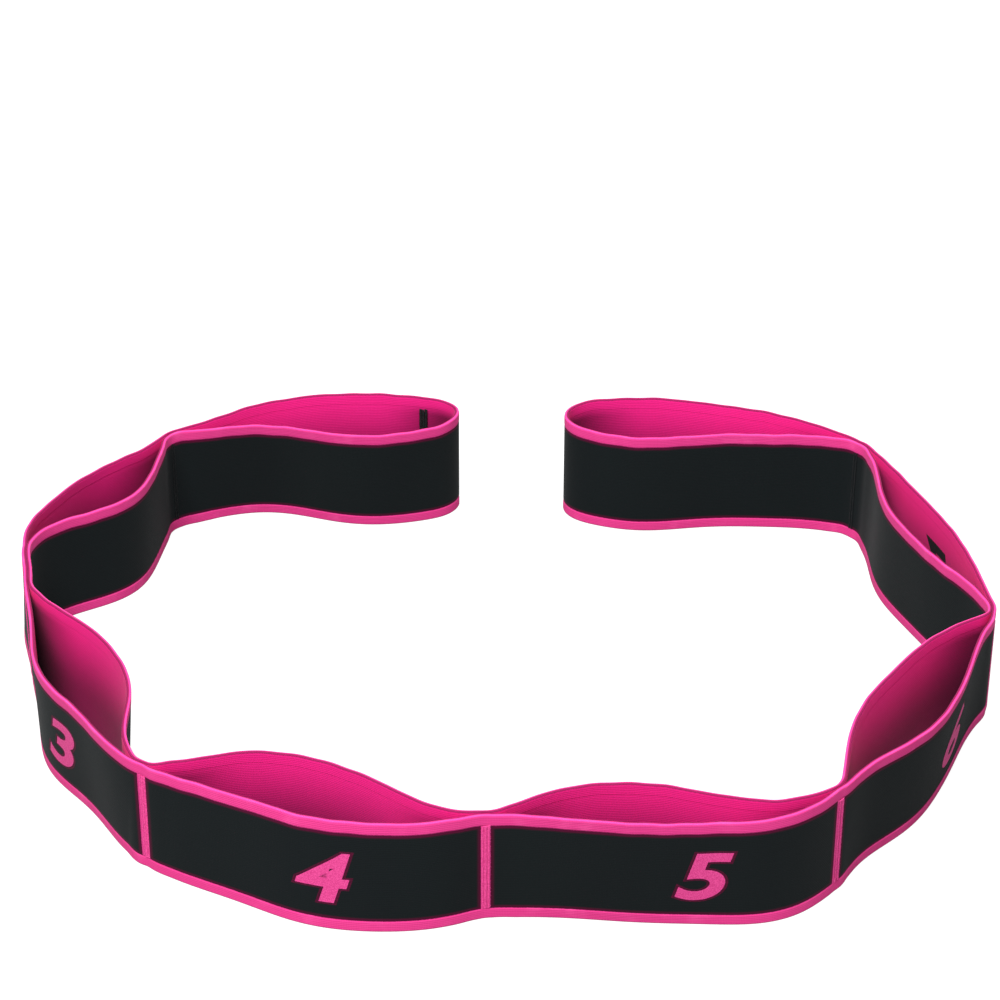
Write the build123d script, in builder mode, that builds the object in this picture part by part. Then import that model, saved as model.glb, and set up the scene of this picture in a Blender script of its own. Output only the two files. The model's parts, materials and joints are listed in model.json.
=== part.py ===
"""Stretching strap: one elastic band sewn through its two layers into a row of eight loops.

The strap stands on its long edge, bent into an open C. Lengths are millimetres, +Z is up, and the origin
is at the middle of the strap's outline on the surface that it stands on. Loops count from the left end.
"""

import os
from math import acos, cos, pi, radians, sin, sqrt

from build123d import *

# The band
loop_length = 112.5  # one loop laid flat, from seam to seam
band_width = 40.0
band_thickness = 1.4
edge_strip = 4.0  # the border along each long edge, which the stitches stop at

# The seams
seam_width = 4.0  # the stretch that is stitched flat
hinge_gap = 0.15  # between a stitched stretch and the rounded end that turns beside it
thread_height = 0.25
outer_row_width = 3.3
inner_row_width = 2.0
row_groove = 0.5  # between the two lines of stitches in a row

# The ends
fold_depth = 8.0
fold_half_height = 8.0
join_from_tip = 12.0  # where the band's two cut ends are sewn together
join_gap = 0.1
join_row_width = 3.0
join_row_clearance = 0.06

# How the strap stands: each loop's heading from +X in degrees, and how much shorter it is than when flat
headings = (189.1, 247.1, 295.2, 346.7, 366.7, 418.0, 467.4, 529.2)
slacks = (7.8, 10.7, 2.6, 5.1, 4.8, 2.1, 1.6, 6.1)

# How each panel shares out its slack: skew puts the belly towards one end, ripple flattens or doubles it
outer_shapes = (
    (0.15, 0.10),
    (-0.30, 0.06),
    (0.12, -0.06),
    (-0.32, 0.08),
    (-0.59, 0.28),
    (0.18, -0.68),
    (0.15, 0.05),
    (-0.19, 0.35),
)
inner_shapes = (
    (0.90, 0.15),
    (0.87, -0.46),
    (0.12, -0.43),
    (0.55, -0.27),
    (0.85, -0.28),
    (-0.07, 0.17),
    (0.06, 0.05),
    (-0.90, 0.33),
)

loop_count = len(headings)
root = 3  # the fourth loop, at the front, carries the others
panel_stations = 14
outer, inner = 1, -1

# A turning end is a round nose about the hinge's axis, just past the stitched stretch beside it.
hinge_reach = seam_width / 2 + hinge_gap + band_thickness
# Rounding a fold off takes this much more band than going straight to its tip.
fold_extra = (pi / 2 - 1) * (fold_depth + fold_half_height - band_thickness) / 2


def heading_vector(degrees):
    return Vector(cos(radians(degrees)), sin(radians(degrees)))


def outward(along):
    """The outer side of the strap, on the right of somebody walking from its left end."""
    return Vector(along.Y, -along.X)


def seam_points(first):
    """The left tip, the seven seams and the right tip."""
    points = [first]
    for heading, slack in zip(headings, slacks):
        points.append(points[-1] + heading_vector(heading) * (loop_length - slack))
    return points


def seam_direction(seam):
    """The band's direction along a seam's flat stretch, halfway between its two loops."""
    before = heading_vector(headings[max(seam - 1, 0)])
    after = heading_vector(headings[min(seam, loop_count - 1)])
    return (before + after).normalized()


def end_kind(loop, end):
    """What a loop's start (0) or finish (1) is: the strap's end fold, its own seam, or a hinge."""
    if (loop, end) in ((0, 0), (loop_count - 1, 1)):
        return "fold"
    own = loop <= root if end == 0 else loop >= root
    return "seam" if own else "hinge"


def reach(loop, end):
    """How far from the seam's middle the panels part."""
    return {"fold": 0.0, "seam": seam_width / 2, "hinge": hinge_reach}[end_kind(loop, end)]


def panel_point(points, loop, side, s):
    """A point of a panel's inside face, for s from 0 at the loop's start to 1 at its finish."""
    start = points[loop] + seam_direction(loop) * reach(loop, 0)
    finish = points[loop + 1] - seam_direction(loop + 1) * reach(loop, 1)
    kinds = [end_kind(loop, 0), end_kind(loop, 1)]
    chord = (finish - start).length
    along = (finish - start).normalized()
    spare = loop_length - reach(loop, 0) - reach(loop, 1) - chord
    # Stations crowd towards a fold, where the band turns through half a circle.
    travelled = chord * s
    if kinds[0] == "fold":
        travelled = band_thickness + (chord - band_thickness) * (1 - cos(pi * s / 2))
    if kinds[1] == "fold":
        travelled = (chord - band_thickness) * sin(pi * s / 2)
    belly = 0.0
    if "fold" in kinds:
        spare -= fold_extra
        from_tip = travelled if kinds[0] == "fold" else chord - travelled
        depth = min((from_tip - band_thickness) / fold_depth, 1.0)
        belly = (fold_half_height - band_thickness) * sqrt(1 - (1 - depth) ** 2)
        belly *= 1 - (from_tip - band_thickness) / (chord - band_thickness)
    # Three sine terms whose squares share the spare length, so every panel is as long as the others.
    skew, ripple = (outer_shapes if side == outer else inner_shapes)[loop]
    even = sqrt(1 - skew**2 - ripple**2)
    t = pi * travelled / chord
    size = 2 * sqrt(chord * spare) / pi
    belly += size * (even * sin(t) + skew / 2 * sin(2 * t) + ripple / 3 * sin(3 * t))
    return start + along * travelled + outward(along) * (side * belly)


def station(points, loop, side, s):
    """A point of the inside face and the direction from it to the outside face."""
    step = 1e-4
    before = panel_point(points, loop, side, max(s - step, 0.0))
    after = panel_point(points, loop, side, min(s + step, 1.0))
    return panel_point(points, loop, side, s), outward((after - before).normalized()) * side


def panel_stations_of(points, loop, side, first=0.0, last=1.0):
    steps = [first + (last - first) * k / panel_stations for k in range(panel_stations + 1)]
    return [station(points, loop, side, s) for s in steps]


def outside(place):
    return place[0] + place[1] * band_thickness


def centred_seam_points():
    """The seam points, moved so that the outline's middle is at the origin."""
    points = seam_points(Vector(0, 0))
    outline = []
    for loop in range(loop_count):
        outline += [outside(place) for place in panel_stations_of(points, loop, outer)]
    xs, ys = [p.X for p in outline], [p.Y for p in outline]
    return seam_points(Vector(-(min(xs) + max(xs)) / 2, -(min(ys) + max(ys)) / 2))


points = centred_seam_points()


def draw_end(kind, place, along=None, side=outer):
    """The end of a panel, from its inside face to the point returned on its outside face.

    along points out of the panel's end, as the seam lies.
    """
    foot, normal = place
    if kind == "seam":
        face = outward(along) * side
        tip = foot + along * seam_width
        corner = foot + (face + normal) * (band_thickness / (1 + face.dot(normal)))
        Polyline(foot, tip, tip + face * band_thickness, corner)
        return corner
    if kind == "hinge":
        tip = foot + along * band_thickness
        middle = foot + (along + normal).normalized() * band_thickness
        Line(foot, tip)
        ThreePointArc(tip, middle, outside(place))
        return outside(place)
    Line(foot, outside(place))
    return outside(place)


def draw_strip(places, first_end, last_end):
    """A strip of band as thick as the band all along, closed by its two ends."""
    Spline(*[place[0] for place in places])
    first = draw_end(first_end[0], places[0], *first_end[1:])
    last = draw_end(last_end[0], places[-1], *last_end[1:])
    Spline(first, *[outside(place) for place in places[1:-1]], last)


def draw_thread_row(middle, along, face, width, groove):
    """A row of stitches in plan, standing on a face, with a groove between two lines of stitches."""
    steps = [(-width / 2, 0), (-width / 2, thread_height)]
    if groove:
        steps += [(-groove / 2, thread_height), (-groove / 2, thread_height / 2)]
        steps += [(groove / 2, thread_height / 2), (groove / 2, thread_height)]
    steps += [(width / 2, thread_height), (width / 2, 0)]
    Polyline(*[middle + along * x + face * y for x, y in steps], close=True)


os.makedirs("parts", exist_ok=True)

# The panels between two seams, outer and inner
for loop in range(loop_count - 1):
    for side, word in ((outer, "outer"), (inner, "inner")):
        if loop == 0:
            continue
        start_end = (end_kind(loop, 0), seam_direction(loop) * -1, -side)
        finish_end = (end_kind(loop, 1), seam_direction(loop + 1), side)
        with BuildPart() as panel:
            with BuildSketch():
                with BuildLine():
                    draw_strip(panel_stations_of(points, loop, side), start_end, finish_end)
                make_face()
            extrude(amount=band_width)
        panel.part.label = f"band_{word}_{loop + 1}"
        export_step(panel.part, f"parts/{panel.part.label}.step")

# The first loop: its inner panel runs round the end fold and meets the outer one at the join
join_s = acos(1 - join_from_tip / (loop_length - slacks[0])) * 2 / pi
half_gap_s = join_gap / loop_length
first_hinge = seam_direction(1)
with BuildPart() as band_outer_1:
    with BuildSketch():
        with BuildLine():
            places = panel_stations_of(points, 0, outer, join_s + half_gap_s)
            draw_strip(places, ("cut",), ("hinge", first_hinge, outer))
        make_face()
    extrude(amount=band_width)
band_outer_1.part.label = "band_outer_1"
export_step(band_outer_1.part, "parts/band_outer_1.step")

with BuildPart() as band_inner_1:
    with BuildSketch():
        with BuildLine():
            to_join = panel_stations_of(points, 0, outer, 0.0, join_s - half_gap_s)[1::2]
            places = to_join[::-1] + panel_stations_of(points, 0, inner)
            draw_strip(places, ("cut",), ("hinge", first_hinge, inner))
        make_face()
    extrude(amount=band_width)
band_inner_1.part.label = "band_inner_1"
export_step(band_inner_1.part, "parts/band_inner_1.step")

# The last loop is one piece: both panels and the end fold, round a closed space
last = loop_count - 1
outer_places = panel_stations_of(points, last, outer)
inner_places = panel_stations_of(points, last, inner)
around = outer_places + inner_places[-2::-1]
nose_tip = outer_places[0][0] - seam_direction(last) * band_thickness
with BuildPart() as band_loop_8:
    with BuildSketch():
        with BuildLine():
            Spline(*[outside(place) for place in around])
            ThreePointArc(outside(around[0]), nose_tip, outside(around[-1]))
        make_face()
        with BuildLine():
            # The layers stay together for the first hundredth of the loop.
            hole_outer = panel_stations_of(points, last, outer, 0.01)
            hole_inner = panel_stations_of(points, last, inner, 0.01)
            hole = [place[0] for place in hole_outer + hole_inner[-2::-1]]
            Spline(*hole)
            Line(hole[-1], hole[0])
        make_face(mode=Mode.SUBTRACT)
    extrude(amount=band_width)
band_loop_8.part.label = "band_loop_8"
export_step(band_loop_8.part, "parts/band_loop_8.step")

# A row of stitches on each face of each seam
for seam in range(1, loop_count):
    along = seam_direction(seam)
    rows = ((outer, "outer", outer_row_width), (inner, "inner", inner_row_width))
    for side, word, width in rows:
        face = outward(along) * side
        with BuildPart() as row:
            with BuildSketch(Plane.XY.offset(edge_strip)):
                with BuildLine():
                    middle = points[seam] + face * band_thickness
                    draw_thread_row(middle, along, face, width, row_groove)
                make_face()
            extrude(amount=band_width - 2 * edge_strip)
        row.part.label = f"seam_thread_{word}_{seam}_{seam + 1}"
        export_step(row.part, f"parts/{row.part.label}.step")

# The stitches over the join of the two cut ends
join_place = station(points, 0, outer, join_s)
join_normal = join_place[1]
with BuildPart() as join_thread:
    with BuildSketch(Plane.XY.offset(edge_strip)):
        with BuildLine():
            middle = outside(join_place) + join_normal * join_row_clearance
            draw_thread_row(middle, Vector(-join_normal.Y, join_normal.X), join_normal, join_row_width, 0)
        make_face()
    extrude(amount=band_width - 2 * edge_strip)
join_thread.part.label = "end_join_thread"
export_step(join_thread.part, "parts/end_join_thread.step")

# The hinges' axes, for whoever joins the loops
for seam in range(1, loop_count):
    turning = seam - 1 if seam <= root else seam
    side_of_seam = -1 if seam <= root else 1
    axis = points[seam] + seam_direction(seam) * (side_of_seam * hinge_reach)
    print(f"hinge of loop {turning + 1} at seam {seam}: {axis.X:.3f}, {axis.Y:.3f}")
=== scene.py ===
# A stretching strap: one long elastic band sewn through both layers into a row of eight loops.
# It stands on its long edge in an open C. Plan positions are complex numbers in millimetres, x + iy.

import json
import math

import bmesh
import bpy
import numpy as np
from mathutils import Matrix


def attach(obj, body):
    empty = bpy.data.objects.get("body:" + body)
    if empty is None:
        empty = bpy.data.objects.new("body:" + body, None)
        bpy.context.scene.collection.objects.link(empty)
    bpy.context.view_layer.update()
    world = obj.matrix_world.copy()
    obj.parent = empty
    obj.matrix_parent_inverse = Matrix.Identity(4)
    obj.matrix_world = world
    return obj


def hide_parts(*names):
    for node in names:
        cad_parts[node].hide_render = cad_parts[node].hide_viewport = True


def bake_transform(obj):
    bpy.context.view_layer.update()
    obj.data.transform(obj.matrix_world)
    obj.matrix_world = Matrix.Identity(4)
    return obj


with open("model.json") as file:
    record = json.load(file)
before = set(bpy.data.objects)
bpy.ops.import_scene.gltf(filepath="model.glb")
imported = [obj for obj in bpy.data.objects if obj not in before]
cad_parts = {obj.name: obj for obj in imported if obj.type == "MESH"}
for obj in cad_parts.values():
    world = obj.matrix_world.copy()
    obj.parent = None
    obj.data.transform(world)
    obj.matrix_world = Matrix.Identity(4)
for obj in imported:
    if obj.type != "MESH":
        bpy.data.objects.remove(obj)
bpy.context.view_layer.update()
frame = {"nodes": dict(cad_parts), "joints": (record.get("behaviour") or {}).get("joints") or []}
print("frame loaded,", len(frame["nodes"]), "parts")

millimetre = 0.001
outer, inner = 1, -1
loopCount = 8
root = 3  # the fourth loop, which carries the others

strap = {
    "loopLength": 112.5,
    "width": 40.0,
    "thickness": 1.4,
    "edgeStrip": 4.0,
    "seamWidth": 4.0,
    "hingeGap": 0.15,
    "foldDepth": 8.0,
    "foldHalfHeight": 8.0,
    "joinFromTip": 12.0,
    "seamPress": 0.16,  # part of the thickness that a row of stitches takes away
    "pressReach": 1.9,
    "edgeWaver": 0.18,
    "waverCycles": 130,
    "waverSeed": 3,
    "headings": [189.1, 247.1, 295.2, 346.7, 366.7, 418.0, 467.4, 529.2],
    "slacks": [7.8, 10.7, 2.6, 5.1, 4.8, 2.1, 1.6, 6.1],
    # skew puts a panel's belly towards one end, ripple flattens or doubles it
    "outerShapes": [
        (0.15, 0.10), (-0.30, 0.06), (0.12, -0.06), (-0.32, 0.08),
        (-0.59, 0.28), (0.18, -0.68), (0.15, 0.05), (-0.19, 0.35),
    ],
    "innerShapes": [
        (0.90, 0.15), (0.87, -0.46), (0.12, -0.43), (0.55, -0.27),
        (0.85, -0.28), (-0.07, 0.17), (0.06, 0.05), (-0.90, 0.33),
    ],
    # how the cloth eases away from each panel's drawn line, as sizes of five sine waves along it
    "outerEase": [
        (0.0, -1.2, -1.0, 0.2, -0.3), (-2.1, -0.2, -0.1, -0.5, -0.5), (0.1, -0.3, -0.6, -0.7, 0.4),
        (0.1, -0.1, 0.1, -0.1, 0.4), (0.0, 0.0, 0.1, -1.0, 0.2), (0.1, -0.5, 0.1, -0.5, -0.4),
        (-0.2, -0.1, 0.0, -0.2, 0.1), (3.2, 0.7, -0.3, 0.1, -0.2),
    ],
    "innerEase": [
        (-2.9, 0.2, -0.8, -0.5, 0.3), (-3.4, 0.0, -0.3, -0.2, 0.3), (0.8, 0.4, -1.1, 0.5, -0.6),
        (0.0, 0.3, -0.5, 0.3, -0.6), (-0.1, 0.6, 0.0, 0.5, -0.1), (4.1, -0.2, 0.3, -0.5, 0.0),
        (-0.9, -1.1, -1.4, 0.3, -0.5), (0.1, -0.3, -0.5, 0.0, -0.4),
    ],
    # how far each panel's lower edge stands out past its upper edge, as sizes of three sine waves
    "outerFlares": [
        (-3.1, 0.0, 0.0), (3.6, 0.0, 0.0), (-1.8, 0.9, -0.3), (2.1, -0.2, 0.0),
        (-2.0, -1.0, 0.2), (-4.1, -0.2, 0.0), (0.9, 0.0, 0.0), (-4.0, 0.0, 0.0),
    ],
    "innerFlares": [
        (-5.0, 0.7, -0.6), (-1.0, -0.2, -0.3), (-3.3, 0.0, 0.0), (-1.9, 0.0, 0.0),
        (-0.1, 0.0, 0.0), (-4.0, 0.0, 0.0), (-1.5, -0.8, 0.5), (-1.8, 0.0, -0.2),
    ],
}

loopLength = strap["loopLength"]
thickness = strap["thickness"]
width = strap["width"]
hingeReach = strap["seamWidth"] / 2 + strap["hingeGap"] + thickness

# Seams in plan: each loop's heading and chord, laid end to end and set down on the frame's first joint
headings = np.exp(1j * np.radians(strap["headings"]))
seams = np.concatenate([[0], np.cumsum(headings * (loopLength - np.array(strap["slacks"])))])
seamDirections = np.append(headings[0], headings) + np.append(headings, headings[-1])
seamDirections /= abs(seamDirections)
jointPlaces = {joint["name"]: joint["pos_m"] for joint in frame["joints"]}
firstJoint = complex(*jointPlaces["seam_1_2"][:2]) / millimetre
seams += firstJoint - (seams[1] - seamDirections[1] * hingeReach)


def endKind(loop, end):
    # what a loop's start (0) or finish (1) is
    if (loop, end) in ((0, 0), (loopCount - 1, 1)):
        return "fold"
    own = loop <= root if end == 0 else loop >= root
    return "seam" if own else "hinge"


def reach(loop, end):
    return {"fold": 0.0, "seam": strap["seamWidth"] / 2, "hinge": hingeReach}[endKind(loop, end)]


def panelPath(loop, side, s):
    # A panel's inside face: its chord, with size * (even sin t + skew/2 sin 2t + ripple/3 sin 3t)
    # across it and a half oval added at an end fold. s runs from 0 at the loop's start to 1 at its finish.
    start = seams[loop] + seamDirections[loop] * reach(loop, 0)
    finish = seams[loop + 1] - seamDirections[loop + 1] * reach(loop, 1)
    chord = abs(finish - start)
    along = (finish - start) / chord
    spare = loopLength - reach(loop, 0) - reach(loop, 1) - chord
    kinds = [endKind(loop, 0), endKind(loop, 1)]
    travelled = chord * s
    belly = np.zeros_like(s)
    if "fold" in kinds:
        atStart = kinds[0] == "fold"
        fromTip = 1 - np.cos(np.pi * (s if atStart else 1 - s) / 2)
        fromTip = thickness + (chord - thickness) * fromTip
        travelled = fromTip if atStart else chord - fromTip
        foldHeight = strap["foldHalfHeight"] - thickness
        spare -= (math.pi / 2 - 1) * (strap["foldDepth"] + foldHeight) / 2
        depth = np.minimum((fromTip - thickness) / strap["foldDepth"], 1)
        belly = foldHeight * np.sqrt(1 - (1 - depth) ** 2)
        belly *= 1 - (fromTip - thickness) / (chord - thickness)
    skew, ripple = strap["outerShapes" if side == outer else "innerShapes"][loop]
    even = math.sqrt(1 - skew**2 - ripple**2)
    t = np.pi * travelled / chord
    size = 2 * math.sqrt(chord * spare) / math.pi
    belly = belly + size * (even * np.sin(t) + skew / 2 * np.sin(2 * t) + ripple / 3 * np.sin(3 * t))
    return start + along * travelled - 1j * along * side * belly


def layerRun(side):
    # one layer's inside face from the left tip to the right one, with its place counted in loops
    s = np.linspace(0, 1, 900)
    runs, places = [], []
    for loop in range(loopCount):
        run = panelPath(loop, side, s)
        runs += [run, seams[loop + 1 : loop + 2]]
        places += [loop + 0.03 + 0.94 * s, [loop + 1]]
    runs, places = np.concatenate(runs[:-1]), np.concatenate(places[:-1])
    places[0], places[-1] = 0, loopCount
    travelled = np.append(0, np.cumsum(abs(np.diff(runs))))
    atSeams = np.interp(np.arange(loopCount + 1), places, travelled)
    return runs, np.interp(travelled, atSeams, np.arange(loopCount + 1))


# The whole band is one closed run: out along the outer layer and back along the inner one.
# place counts loops along it, 0 to 8 outside and 8 to 16 back, and the outside is on its right.
outerRun, outerPlaces = layerRun(outer)
innerRun, innerPlaces = layerRun(inner)
closedRun = {
    "steps": 8192,
    "spread": 60,  # steps each way that the smoothing reaches
    "rounding": 20.0,  # its width in steps: cloth rounds the corners beside the stitches
    "slipReach": 7.5,  # millimetres each side of a seam that are moved back onto it
}
turns = 2 * loopCount
run = np.concatenate([outerRun, innerRun[-2:0:-1]])
runPlaces = np.concatenate([outerPlaces, turns - innerPlaces[-2:0:-1]])
travelled = np.append(0, np.cumsum(abs(np.diff(np.append(run, run[0])))))
grid = np.linspace(0, travelled[-1], closedRun["steps"], endpoint=False)
gridPlaces = np.interp(grid, travelled, np.append(runPlaces, turns))
gridRun = np.interp(grid, travelled, np.append(run, run[0]))
kernelSteps = np.arange(-closedRun["spread"], closedRun["spread"] + 1)
kernel = np.exp(-((kernelSteps / closedRun["rounding"]) ** 2) / 2)
kernel /= kernel.sum()
gridRun = sum(weight * np.roll(gridRun, k) for k, weight in zip(kernelSteps, kernel))
for seam in range(1, loopCount):
    for place in (seam, turns - seam):
        slip = seams[seam] - np.interp(place, gridPlaces, gridRun, period=turns)
        fromPlace = (gridPlaces - place) * loopLength / closedRun["slipReach"]
        gridRun = gridRun + slip * np.exp(-(fromPlace**4))
gridAlong = np.roll(gridRun, -1) - np.roll(gridRun, 1)
gridAlong /= abs(gridAlong)


def waver(places, cycles, seed):
    # a smooth repeatable wobble along the band, about -1 to 1: five sine waves with drawn phases
    draw = np.random.default_rng(seed)
    counts = np.round(cycles * draw.uniform(0.4, 1.6, 5))
    phases = draw.uniform(0, 2 * np.pi, 5)
    return np.sin(2 * np.pi * np.multiply.outer(places / turns, counts) + phases).mean(-1) * 1.6


def waveSum(sizes, places):
    # sizes[panel] times sin(pi k * part of the loop) added up over k, which is zero at every seam
    outside, inside = (np.array(strap[word + sizes]) for word in ("outer", "inner"))
    table = np.concatenate([outside, inside[::-1]])[np.floor(places).astype(int) % turns]
    part = np.where(places < loopCount, places % 1, 1 - places % 1)
    waves = np.arange(1, table.shape[-1] + 1)
    return (table * np.sin(np.pi * part[..., None] * waves)).sum(-1)


def insideFace(places, heights):
    # The band's inside face and the direction out of it. Each panel of the drawn run is moved outwards
    # by its ease + flare * (1/2 - height / width).
    places = np.mod(places, turns)
    plan = np.interp(places, gridPlaces, gridRun, period=turns)
    along = np.interp(places, gridPlaces, gridAlong, period=turns)
    right = -1j * along / abs(along)
    moved = waveSum("Ease", places) + waveSum("Flares", places) * (0.5 - heights / width)
    return plan + right * moved, right


def bandPoint(places, across, heights):
    # A point on the band: its inside face, plus across towards the outside, at a height. Where the two
    # layers would press into each other each gives way by half, seams are pressed thinner, and the lift
    # grows with height to a slow waver along the upper edge.
    places = np.mod(places, turns)
    plan, right = insideFace(places, heights)
    facing = insideFace(turns - places, heights)[0]
    moved = np.maximum(((facing - plan) * right.conj()).real, 0) / 2
    fromSeam = abs(places - np.round(places)) * loopLength
    sewn = np.round(places) % loopCount != 0
    pressed = 1 - strap["seamPress"] * np.exp(-((fromSeam / strap["pressReach"]) ** 4)) * sewn
    plan = plan + right * (thickness / 2 + across * pressed + moved)
    wobble = waver(places, strap["waverCycles"], strap["waverSeed"])
    lift = np.clip(heights / width, 0, 1) * strap["edgeWaver"] * wobble
    return np.stack([plan.real, plan.imag, heights + lift], -1) * millimetre


# The band's cross-section: a shallow line on the outside face inside each edge strip, and round edges
section = {
    "edgeRadius": 0.6,
    "lineDepth": 0.10,
    "lineWidth": 0.32,
    "lineHeights": [4.0, 36.0],
    "edgeSwell": 0.06,
}


def sectionProfile():
    # Closed outline (across, height, v). v is the height on the outside face and carries on round it.
    # across = thickness/2 + swell in the edge strips - depth * exp(-((height - line) / width)^2)
    radius = section["edgeRadius"]
    heights = np.concatenate([
        np.linspace(radius, 3.4, 6), [3.7, 3.85, 4.0, 4.15, 4.3], np.linspace(4.8, 35.2, 12),
        [35.7, 35.85, 36.0, 36.15, 36.3], np.linspace(36.6, width - radius, 6),
    ])
    line = sum(np.exp(-(((heights - at) / section["lineWidth"]) ** 2)) for at in section["lineHeights"])
    strip = abs(heights - width / 2) > width / 2 - strap["edgeStrip"]
    face = thickness / 2 + section["edgeSwell"] * strip
    across = face - section["lineDepth"] * line
    flank = thickness / 2 + section["edgeSwell"]
    turn = np.linspace(0, np.pi, 11)[1:-1]
    topAcross, topHeights = flank * np.cos(turn), width - radius + radius * np.sin(turn) ** 0.8
    faceV = heights
    topV = width + thickness * turn / np.pi
    backV = width + thickness + (width - heights[::-1])
    bottomV = 2 * width + thickness + thickness * turn / np.pi
    return (
        np.concatenate([across, topAcross, -face[::-1], -topAcross]),
        np.concatenate([heights, topHeights, heights[::-1], width - topHeights]),
        np.concatenate([faceV, topV, backV, bottomV]) * millimetre,
        (2 * width + 2 * thickness + section["edgeRadius"]) * millimetre,
    )


def linkPiece(name, mesh, finish):
    piece = bpy.data.objects.new(name, mesh)
    bpy.context.scene.collection.objects.link(piece)
    mesh.materials.append(finish)
    return piece


def gridMesh(name, points, weave=None, normals=None):
    # A tube of quads through points[station, around, xyz], with its two ends closed by flat faces.
    # The quads wind so that (next station - this one) x (next around - this one) points outwards.
    stations, around = points.shape[:2]
    mesh = bpy.data.meshes.new(name)
    i, j = np.meshgrid(np.arange(stations - 1), np.arange(around), indexing="ij")
    nextJ = (j + 1) % around
    here, ahead = i * around, (i + 1) * around
    quads = np.stack([here + j, ahead + j, ahead + nextJ, here + nextJ], -1).reshape(-1, 4)
    firstCap = np.arange(around)
    lastCap = (stations - 1) * around + np.arange(around)[::-1]
    caps = [firstCap.tolist(), lastCap.tolist()]
    mesh.from_pydata(points.reshape(-1, 3).tolist(), [], quads.tolist() + caps)
    smooth = np.ones(len(mesh.polygons), bool)
    smooth[-2:] = False
    mesh.polygons.foreach_set("use_smooth", smooth)
    if weave is not None:
        us, vs, lastV = weave
        vNext = np.append(vs[1:], lastV)
        corners = np.stack([
            np.stack([us[i], vs[j]], -1), np.stack([us[i + 1], vs[j]], -1),
            np.stack([us[i + 1], vNext[j]], -1), np.stack([us[i], vNext[j]], -1),
        ], 2).reshape(-1, 2)
        firstCorners = np.stack([np.full(around, us[0]), vs], -1)
        lastCorners = np.stack([np.full(around, us[-1]), vs[::-1]], -1)
        layer = mesh.uv_layers.new(name="weave")
        weaveMap = np.concatenate([corners, firstCorners, lastCorners]).astype(np.float32)
        layer.data.foreach_set("uv", weaveMap.ravel())
    if normals is not None:
        flat = normals.reshape(-1, 3)
        ends = [np.tile(mesh.polygons[k].normal, (around, 1)) for k in (-2, -1)]
        mesh.normals_split_custom_set(np.concatenate([flat[quads.ravel()]] + ends).tolist())
    return mesh


def recalculated(mesh):
    # faces of a closed piece turned to point outwards
    shape = bmesh.new()
    shape.from_mesh(mesh)
    bmesh.ops.recalc_face_normals(shape, faces=shape.faces)
    shape.to_mesh(mesh)
    shape.free()
    return mesh


# Shader maths: a Link is an output that Python's operators work on
class Link:
    def __init__(self, finish, socket):
        self.finish, self.socket = finish, socket

    def __add__(self, other):
        return self.finish.maths("ADD", self, other)

    def __radd__(self, other):
        return self.finish.maths("ADD", other, self)

    def __sub__(self, other):
        return self.finish.maths("SUBTRACT", self, other)

    def __rsub__(self, other):
        return self.finish.maths("SUBTRACT", other, self)

    def __mul__(self, other):
        return self.finish.maths("MULTIPLY", self, other)

    def __rmul__(self, other):
        return self.finish.maths("MULTIPLY", other, self)


class Finish:
    def __init__(self, name):
        self.material = bpy.data.materials.new(name)
        self.material.use_nodes = True
        self.tree = self.material.node_tree
        self.shader = self.tree.nodes["Principled BSDF"]

    def node(self, kind, settings=None, values=None, output=0):
        made = self.tree.nodes.new(kind)
        for setting, value in (settings or {}).items():
            setattr(made, setting, value)
        for socket, value in (values or {}).items():
            if isinstance(value, Link):
                self.tree.links.new(value.socket, made.inputs[socket])
            else:
                made.inputs[socket].default_value = value
        return Link(self, made.outputs[output])

    def maths(self, operation, *values):
        return self.node("ShaderNodeMath", {"operation": operation}, dict(enumerate(values)))

    def wave(self, value, pitch):
        # 0 to 1 and back once every pitch
        return self.maths("SINE", value * (2 * math.pi / pitch)) * 0.5 + 0.5

    def ramp(self, value, start, end):
        # a smooth step from 0 at start to 1 at end
        settings = {"interpolation_type": "SMOOTHSTEP"}
        return self.node("ShaderNodeMapRange", settings, {"Value": value, 1: start, 2: end})

    def between(self, value, low, high, soft):
        # 1 from low to high and 0 outside them, with soft edges
        past = self.ramp(value, high - soft, high + soft)
        return self.ramp(value, low - soft, low + soft) * (1 - past)

    def mix(self, factor, first, second):
        colours = {6: first, 7: second}
        settings = {"data_type": "RGBA"}
        return self.node("ShaderNodeMix", settings, {0: factor, **colours}, 2)

    def noise(self, place, scale, detail=2.0, roughness=0.5):
        values = {"Vector": place, "Scale": scale, "Detail": detail, "Roughness": roughness}
        return self.node("ShaderNodeTexNoise", {}, values)

    def connect(self, **values):
        for socket, value in values.items():
            name = socket.replace("_", " ")
            if isinstance(value, Link):
                self.tree.links.new(value.socket, self.shader.inputs[name])
            else:
                self.shader.inputs[name].default_value = value


def colour(red, green, blue):
    # screen values from 0 to 255 turned into the renderer's linear light
    parts = np.array([red, green, blue]) / 255
    linear = np.where(parts <= 0.04045, parts / 12.92, ((parts + 0.055) / 1.055) ** 2.4)
    return (*linear.tolist(), 1)


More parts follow.
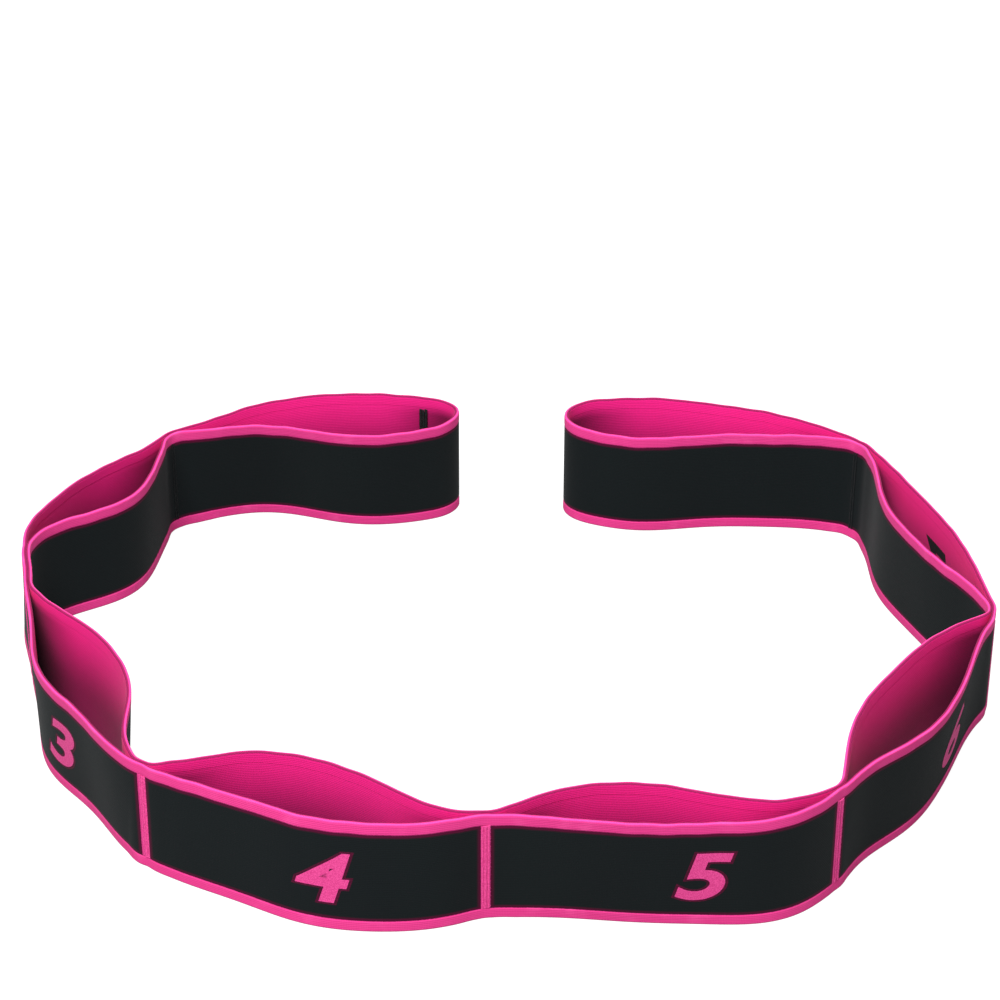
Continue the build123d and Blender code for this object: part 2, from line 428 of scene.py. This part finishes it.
webbing = {
    "black": (13, 17, 20),
    "blackFaded": (17, 27, 27),
    "blackDeep": (9, 11, 16),
    "pink": (230, 64, 142),
    "pinkWorn": (242, 86, 158),
    "pinkGroove": (216, 50, 126),
    "reverse": (229, 34, 131),
    "reverseGroove": (216, 27, 118),
    # painted shade inside the loops, laid on the reverse face
    "paintedPocketShade": (60, 0, 28),
    # painted shade on the halves of the top and bottom edges next to the reverse, where each edge turns
    # away from the light
    "rim": (96, 8, 50),
    "line": (76, 0, 40),
    "seamLineHalf": 1.5,  # the pink line over a seam, half its width
    "border": 1.0,  # dark strip between the pink and the black
    "paintedShadeFadeFromSeam": (3.0, 34.0),  # distance from a seam where the painted shade on the reverse starts to fade and has gone
    "paintedShadeAtSeams": 0.85,
    # painted shade low on the reverse: the heights where it fades, and its strength
    "paintedShadeFadeHeights": (12.0, 40.0),
    "paintedShadeLowDown": 0.76,
    "ribPitch": 0.66,
    "weftPitch": 0.5,
    "roughness": 0.85,
    "sheen": 0.04,
    "sheenRoughness": 0.45,
    "specular": 0.12,
    "bump": 0.4,
    "bumpDepth": 0.00016,
}


def makeWebbing():
    # Woven elastic: black face, pink edge strips, edges and reverse, all placed by the weave map's
    # u along the band and v round it, in metres.
    finish = Finish("webbing")
    place = finish.node("ShaderNodeUVMap", {"uv_map": "weave"})
    apart = finish.node("ShaderNodeSeparateXYZ", {}, {0: place})
    u = apart * (1 / millimetre)
    v = Link(finish, apart.socket.node.outputs[1]) * (1 / millimetre)
    stretched = finish.node("ShaderNodeMapping", {}, {"Vector": place, "Scale": (1000, 1000, 1)})
    alongOnly = finish.node("ShaderNodeMapping", {}, {"Vector": place, "Scale": (40, 6, 1)})
    threads = finish.node("ShaderNodeMapping", {}, {"Vector": place, "Scale": (90, 1400, 1)})
    soft = finish.noise(stretched, 0.12, 3.0)
    fade = finish.noise(alongOnly, 1.0, 2.0)
    streaks = finish.noise(threads, 1.0, 2.0, 0.6)
    speckle = finish.noise(stretched, 1.9, 2.0)

    edge = strap["edgeStrip"]
    fray = (speckle - 0.5) * 0.22
    reverse = finish.between(v, width + thickness * 0.75, 2 * width + thickness * 1.25, 0.2)
    outerLayer = finish.between(u, loopLength * 0.4, loopLength * 7.6, 1.0)
    partOfLoop = finish.maths("FRACT", u * (1 / loopLength) + 0.5)
    toSeam = finish.maths("ABSOLUTE", partOfLoop - 0.5) * loopLength
    lineHalf = webbing["seamLineHalf"]
    clearOfSeam = 1 - (1 - finish.ramp(toSeam + fray, lineHalf - 0.1, lineHalf + 0.1)) * outerLayer
    clearOfLine = 1 - (1 - finish.ramp(toSeam + fray, lineHalf + 0.3, lineHalf + 1.7)) * outerLayer
    black = finish.between(v + fray, edge, width - edge, 0.10) * clearOfSeam
    coreEdge = edge + webbing["border"]
    blackCore = finish.between(v + fray, coreEdge, width - coreEdge, 0.5) * clearOfLine
    seamGroove = (1 - clearOfSeam) * finish.between(v, edge, width - edge, 0.1)
    # painted shade: the half of the top edge and of the bottom edge next to the reverse face, where the
    # edge turns away from the light
    paintedShadeTopEdge = finish.between(v, width + thickness * 0.5, width + thickness, 0.12)
    paintedShadeLowEdge = finish.between(v, 2 * width + thickness, 2 * width + thickness * 1.5, 0.12)
    rim = paintedShadeTopEdge + paintedShadeLowEdge

    rib = finish.wave(v, webbing["ribPitch"])
    weft = finish.wave(u + rib * 0.12 + (soft - 0.5) * 0.5, webbing["weftPitch"])
    grain = rib * 0.55 + weft * 0.3 + streaks * 0.45

    blackColour = finish.mix(fade, colour(*webbing["blackDeep"]), colour(*webbing["blackFaded"]))
    blackColour = finish.mix(0.5, blackColour, colour(*webbing["black"]))
    worn = finish.mix(0.5, blackColour, colour(*webbing["blackFaded"]))
    blackColour = finish.mix(finish.ramp(grain, 0.25, 0.95) * 0.75, blackColour, worn)
    pinkColour = finish.mix(
        finish.ramp(grain, 0.2, 0.9), colour(*webbing["pinkGroove"]), colour(*webbing["pink"])
    )
    pinkColour = finish.mix(finish.ramp(soft, 0.5, 0.8) * 0.5, pinkColour, colour(*webbing["pinkWorn"]))
    reverseColour = finish.mix(
        finish.ramp(grain, 0.1, 0.9), colour(*webbing["reverseGroove"]), colour(*webbing["reverse"])
    )
    # painted shade: the reverse is darkened low down and towards the seams, where the loops close,
    # standing in for the shade inside the loops
    backHeight = (2 * width + thickness) - v
    paintedShadeNearSeams = (1 - finish.ramp(toSeam, *webbing["paintedShadeFadeFromSeam"])) * webbing["paintedShadeAtSeams"]
    paintedShadeLow = (1 - finish.ramp(backHeight, *webbing["paintedShadeFadeHeights"])) * webbing["paintedShadeLowDown"]
    # painted shade: both darkenings together, kept off the top few millimetres of the reverse
    paintedPocketShadeMask = (paintedShadeNearSeams + paintedShadeLow - paintedShadeNearSeams * paintedShadeLow) * (1 - finish.ramp(backHeight, 33.0, 38.5))
    reverseColour = finish.mix(paintedPocketShadeMask, reverseColour, colour(*webbing["paintedPocketShade"]))
    base = finish.mix(reverse, pinkColour, reverseColour)
    # the painted edge shade, and the pink line over each seam darkened a little towards the same dark
    # colour
    base = finish.mix(rim * 0.85 + seamGroove * 0.2, base, colour(*webbing["rim"]))
    base = finish.mix(black, base, colour(*webbing["line"]))
    base = finish.mix(blackCore, base, blackColour)

    height = rib * 0.5 + weft * 0.3 + streaks * 0.25 + speckle * 0.12
    bump = finish.node("ShaderNodeBump", {}, {
        "Strength": webbing["bump"], "Distance": webbing["bumpDepth"], "Height": height,
    })
    finish.connect(
        Base_Color=base,
        Roughness=webbing["roughness"] - finish.ramp(grain, 0.3, 1.0) * 0.10,
        Normal=bump,
        Sheen_Weight=webbing["sheen"],
        Sheen_Roughness=webbing["sheenRoughness"],
        Specular_IOR_Level=webbing["specular"],
    )
    return finish.material


threads = {
    "pinkThread": {"bright": (230, 78, 150), "deep": (206, 54, 126), "sheen": 0.05},
    "blackThread": {"bright": (21, 25, 27), "deep": (12, 14, 16), "sheen": 0.03},
    "rimThread": {"bright": (84, 2, 44), "deep": (60, 0, 30), "sheen": 0.02},
}


def makeThread(name, bright, deep, sheen):
    # twisted sewing thread: fine plies and slow wear, placed by Object coordinates
    finish = Finish(name)
    place = finish.node("ShaderNodeTexCoord", {}, {}, 3)
    plies = finish.noise(place, 2600.0, 2.0, 0.6)
    wear = finish.noise(place, 120.0, 2.0)
    base = finish.mix(finish.ramp(plies, 0.35, 0.65), colour(*deep), colour(*bright))
    base = finish.mix(finish.ramp(wear, 0.55, 0.8) * 0.3, base, colour(*deep))
    bump = finish.node("ShaderNodeBump", {}, {"Strength": 0.4, "Distance": 0.00006, "Height": plies})
    finish.connect(
        Base_Color=base,
        Roughness=0.66 + wear * 0.1,
        Normal=bump,
        Sheen_Weight=sheen,
        Sheen_Roughness=0.4,
        Specular_IOR_Level=0.2,
    )
    return finish.material


webbingFinish = makeWebbing()
pinkThread, blackThread, rimThread = (makeThread(name, **look) for name, look in threads.items())
print("finishes made")

# The band, one piece across each seam in each layer and one round each end fold
across, heights, profileV, closingV = sectionProfile()
stationsPerPiece = 126


def makeBand(name, firstPlace, lastPlace):
    # one extra station at each end gives the end normals that the neighbouring piece has too
    step = (lastPlace - firstPlace) / (stationsPerPiece - 1)
    places = firstPlace + step * np.arange(-1, stationsPerPiece + 1)
    points = bandPoint(*np.broadcast_arrays(places[:, None], across[None], heights[None]))
    alongBand = points[2:] - points[:-2]
    aroundBand = (np.roll(points, -1, axis=1) - np.roll(points, 1, axis=1))[1:-1]
    normals = np.cross(alongBand, aroundBand)
    normals /= np.linalg.norm(normals, axis=-1, keepdims=True)
    weave = (places[1:-1] * loopLength * millimetre, profileV, closingV)
    piece = linkPiece(name, gridMesh(name, points[1:-1], weave, normals), webbingFinish)
    return piece


def seamBlend(piece, seam):
    # Fixes the piece's placement into its mesh. The stretch beside the stitches where the fabric bends, on
    # the side of the loop that turns and centred on the hinge, is worked out but not used.
    turning = -1 if seam <= root else 1
    centre, outwards = seams[seam], seamDirections[seam] * turning
    clear = strap["seamWidth"] / 2 + 0.1
    start, end = (
        (p.real * millimetre, p.imag * millimetre, width / 2 * millimetre)
        for p in (centre + outwards * clear, centre + outwards * (2 * hingeReach - clear))
    )
    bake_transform(piece)


for seam in range(1, loopCount):
    outerBand = makeBand(f"bandOuter{seam}to{seam + 1}", seam - 0.5, seam + 0.5)
    innerBand = makeBand(f"bandInner{seam}to{seam + 1}", turns - seam - 0.5, turns - seam + 0.5)
    seamBlend(outerBand, seam)
    seamBlend(innerBand, seam)
    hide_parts(f"band_outer_{seam}")
    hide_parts(f"band_inner_{seam}")
leftEnd = makeBand("bandLeftEnd", turns - 0.5, turns + 0.5)
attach(leftEnd, "loop_1")
rightEnd = makeBand("bandRightEnd", loopCount - 0.5, loopCount + 0.5)
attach(rightEnd, "loop_8")
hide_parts("band_loop_8")
print("band made")

# Stitches: each line is one thread that zigzags up the seam and dips into the cloth at both sides
stitches = {
    "threadRadius": 0.17,
    "rise": 0.27,
    "outerLines": [(-1.0, 1.0), (0.0, 1.1), (1.0, 1.0)],
    "innerLines": [(-0.5, 0.6), (0.5, 0.6)],
    "joinLines": [(-0.95, 1.0), (0.0, 1.0), (0.95, 1.0)],
    "lowest": 4.1,
    "highest": 35.9,
    "bulge": 0.13,
    "sides": 6,
    "stepsAcross": 4,
}


def stitchLine(centre, along, face, offset, lineWidth, seed):
    # Zigzag thread: x swings across the line, the height climbs steadily, and the thread stands
    # bulge * sin(pi * part of the swing) off the cloth.
    draw = np.random.default_rng(seed)
    swings = int((stitches["highest"] - stitches["lowest"]) / stitches["rise"])
    t = np.arange(swings * stitches["stepsAcross"] + 1) / stitches["stepsAcross"]
    reachOut = lineWidth / 2 * (1 + draw.uniform(-0.14, 0.14, swings + 2))
    part = t % 1
    swing = np.floor(t).astype(int)
    sign = 1 - 2 * (swing % 2)
    x = offset + sign * (reachOut[swing] * (part - 1) + reachOut[swing + 1] * part)
    z = stitches["lowest"] + t * stitches["rise"] + 0.3 * draw.uniform(-1, 1)
    off = stitches["bulge"] * (np.sin(np.pi * part) - 0.25)
    plan = centre + along * x + face * off
    path = np.stack([plan.real, plan.imag, z], -1)
    ahead = np.gradient(path, axis=0)
    ahead /= np.linalg.norm(ahead, axis=1, keepdims=True)
    normal = np.array([face.real, face.imag, 0.0])
    aside = np.cross(ahead, normal)
    aside /= np.linalg.norm(aside, axis=1, keepdims=True)
    angle = 2 * np.pi * np.arange(stitches["sides"]) / stitches["sides"]
    ring = np.cos(angle)[:, None, None] * normal + np.sin(angle)[:, None, None] * aside
    return (path[:, None] + stitches["threadRadius"] * ring.transpose(1, 0, 2)) * millimetre


def joined(name, parts, finish):
    # several closed meshes put into one piece
    shape = bmesh.new()
    for part in parts:
        shape.from_mesh(part)
        bpy.data.meshes.remove(part)
    bmesh.ops.recalc_face_normals(shape, faces=shape.faces)
    mesh = bpy.data.meshes.new(name)
    shape.to_mesh(mesh)
    shape.free()
    return linkPiece(name, mesh, finish)


def stitchRow(name, centre, along, face, lines, seed, finish):
    parts = [
        gridMesh(f"{name}.{k}", stitchLine(centre, along, face, offset, lineWidth, seed + k))
        for k, (offset, lineWidth) in enumerate(lines)
    ]
    return joined(name, parts, finish)


def offsetPlan(place, acrossBand):
    # a plan position on the band and the direction out of that face
    point = bandPoint(np.array([place]), np.array([acrossBand]), np.array([width / 2]))[0] / millimetre
    along = np.interp(place % turns, gridPlaces, gridAlong, period=turns)
    return complex(point[0], point[1]), along / abs(along)


for seam in range(1, loopCount):
    parent = f"loop_{seam + 1 if seam <= root else seam}"
    for side, word, lines, finish, slot in (
        (outer, "Outer", stitches["outerLines"], pinkThread, "pink_thread"),
        (inner, "Inner", stitches["innerLines"], blackThread, "black_thread"),
    ):
        centre, along = offsetPlan(seam if side == outer else turns - seam, thickness / 2)
        name = f"seamStitches{word}{seam}to{seam + 1}"
        row = stitchRow(name, centre, along, -1j * along, lines, 10 * seam + side, finish)
        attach(row, parent)
        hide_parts(f"seam_thread_{word.lower()}_{seam}_{seam + 1}")

# The join of the two cut ends, sewn over on both faces near the left tip
chordOne = abs(seams[1] - seamDirections[1] * hingeReach - seams[0])
joinS = math.acos(1 - (strap["joinFromTip"] - thickness) / (chordOne - thickness)) * 2 / math.pi
joinPoint = panelPath(0, outer, np.array([joinS]))[0]
nearTip = gridPlaces < 0.5
joinPlace = gridPlaces[nearTip][np.argmin(abs(gridRun[nearTip] - joinPoint))]
for word, acrossBand, finish, slot in (
    ("Outside", thickness / 2, pinkThread, "pink_thread"),
    ("Inside", -thickness / 2, blackThread, "black_thread"),
):
    centre, along = offsetPlan(joinPlace, acrossBand)
    face = -1j * along if acrossBand > 0 else 1j * along
    row = stitchRow(f"joinStitches{word}", centre, along, face, stitches["joinLines"], 200, finish)
    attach(row, "loop_1")
    if acrossBand > 0:
        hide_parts("end_join_thread")
print("stitches made")

# Numerals: woven in pink with a dark edge on the outer face, showing black and mirrored on the reverse
numerals = {
    "height": 18.5,
    "width": 17.3,
    "lowest": 10.0,
    "slant": 0.22,
    "bold": 0.024,
    "relief": 0.07,
    "rimBold": 0.054,
    "rimRelief": 0.045,
    "strip": 1.0,
    "places": [0.62, 0.62, 0.57, 0.556, 0.59, 0.61, 0.51, 0.38],
}


def numeralShape(digit, bold, box=None):
    # An outline digit as a thin solid, cut into narrow upright strips so that it can follow the band.
    # Its box is scaled to the numeral's size, and another boldness of the digit may share that box.
    text = bpy.data.curves.new("digit" + digit, "FONT")
    text.body, text.size, text.align_x = digit, 1.0, "CENTER"
    text.shear, text.offset, text.extrude = numerals["slant"], bold, 0.5
    text.resolution_u = 8
    holder = bpy.data.objects.new("digit" + digit, text)
    bpy.context.scene.collection.objects.link(holder)
    bpy.context.view_layer.update()
    solid = holder.evaluated_get(bpy.context.evaluated_depsgraph_get())
    mesh = bpy.data.meshes.new_from_object(solid)
    bpy.data.objects.remove(holder)
    bpy.data.curves.remove(text)
    shape = bmesh.new()
    shape.from_mesh(mesh)
    bpy.data.meshes.remove(mesh)
    bmesh.ops.remove_doubles(shape, verts=shape.verts, dist=1e-5)
    places = np.array([vertex.co for vertex in shape.verts])
    low, high = box = box or (places.min(0), places.max(0))
    digitWidth = numerals["width"] * (0.72 if digit == "1" else 1)
    places = (places - low) / (high - low) * [digitWidth, numerals["height"], 1]
    places -= [digitWidth / 2, 0, 0]
    for vertex, place in zip(shape.verts, places):
        vertex.co = place
    for x in np.arange(-numerals["width"] / 2, numerals["width"] / 2, numerals["strip"]):
        parts = shape.verts[:] + shape.edges[:] + shape.faces[:]
        bmesh.ops.bisect_plane(shape, geom=parts, plane_co=(x, 0, 0), plane_no=(1, 0, 0), dist=1e-5)
    bmesh.ops.triangulate(shape, faces=[face for face in shape.faces if len(face.verts) > 4])
    return shape, box


def numeralPiece(name, shape, place, outwards, relief, finish):
    # x goes along the band, y is the height and the solid's depth stands off the face
    mesh = bpy.data.meshes.new(name)
    shape.to_mesh(mesh)
    local = np.zeros(len(mesh.vertices) * 3)
    mesh.vertices.foreach_get("co", local)
    local = local.reshape(-1, 3)
    off = thickness / 2 - 0.03 + relief * local[:, 2]
    digitHeights = numerals["lowest"] + local[:, 1]
    moved = bandPoint(place + local[:, 0] / loopLength, off * outwards, digitHeights)
    mesh.vertices.foreach_set("co", moved.astype(np.float32).ravel())
    mesh.update()
    return linkPiece(name, recalculated(mesh), finish)


for loop in range(loopCount):
    shape, box = numeralShape(str(loop + 1), numerals["bold"])
    rimShape, box = numeralShape(str(loop + 1), numerals["rimBold"], box)
    place = loop + numerals["places"][loop]
    front = numeralPiece(f"numeral{loop + 1}", shape, place, 1, numerals["relief"], pinkThread)
    rim = numeralPiece(f"numeralRim{loop + 1}", rimShape, place, 1, numerals["rimRelief"], rimThread)
    back = numeralPiece(f"numeralReverse{loop + 1}", shape, place, -1, numerals["relief"], blackThread)
    shape.free()
    rimShape.free()
    for piece, slot in ((front, "pink_thread"), (rim, "webbing"), (back, "black_thread")):
        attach(piece, f"loop_{loop + 1}")
print("numerals made")

# Floor, light and camera
scene = bpy.context.scene
scene.view_settings.view_transform = "Standard"

studio = {
    "floorSize": 8.0,
    "floor": (120, 120, 120),
    "floorGlow": 0.86,
    "skyStrength": 0.48,
    "keyPlace": (-0.35, -0.9, 1.9),
    "keySize": 0.9,
    "keyPower": 74.0,
    "fillPlace": (0.4, 0.6, 2.0),
    "fillPower": 20.0,
}
half = studio["floorSize"] / 2
floorMesh = bpy.data.meshes.new("floor")
floorCorners = [(-half, -half, 0), (half, -half, 0), (half, half, 0), (-half, half, 0)]
floorMesh.from_pydata(floorCorners, [], [(0, 1, 2, 3)])
floorFinish = Finish("floor")
seen = floorFinish.node("ShaderNodeLightPath")  # the floor looks bright but does not light the strap
floorFinish.connect(
    Base_Color=colour(*studio["floor"]),
    Roughness=0.9,
    Emission_Color=floorFinish.mix(seen, (0, 0, 0, 1), (1, 1, 1, 1)),
    Emission_Strength=studio["floorGlow"],
)
linkPiece("floor", floorMesh, floorFinish.material)

world = bpy.data.worlds.new("studio")
world.use_nodes = True
world.node_tree.nodes["Background"].inputs["Color"].default_value = (1, 1, 1, 1)
world.node_tree.nodes["Background"].inputs["Strength"].default_value = studio["skyStrength"]
scene.world = world


def areaLight(name, place, size, power):
    lamp = bpy.data.lights.new(name, "AREA")
    lamp.size, lamp.energy = size, power
    holder = bpy.data.objects.new(name, lamp)
    holder.location = place
    direction = -np.array(place)
    pitch = math.atan2(math.hypot(direction[0], direction[1]), -direction[2])
    holder.rotation_euler = (pitch, 0, math.atan2(direction[1], direction[0]) - math.pi / 2)
    scene.collection.objects.link(holder)


areaLight("key", studio["keyPlace"], studio["keySize"], studio["keyPower"])
areaLight("fill", studio["fillPlace"], studio["keySize"], studio["fillPower"])

camera = {"place": (-0.006, -0.9042, 0.6523), "pitchDown": 32.57, "lens": 119.1, "shift": 0.02}
lens = bpy.data.cameras.new("camera")
lens.lens, lens.sensor_width, lens.shift_x = camera["lens"], 36.0, camera["shift"]
viewer = bpy.data.objects.new("camera", lens)
viewer.location = camera["place"]
viewer.rotation_euler = (math.radians(90 - camera["pitchDown"]), 0, 0)
scene.collection.objects.link(viewer)
scene.camera = viewer
print("studio made")
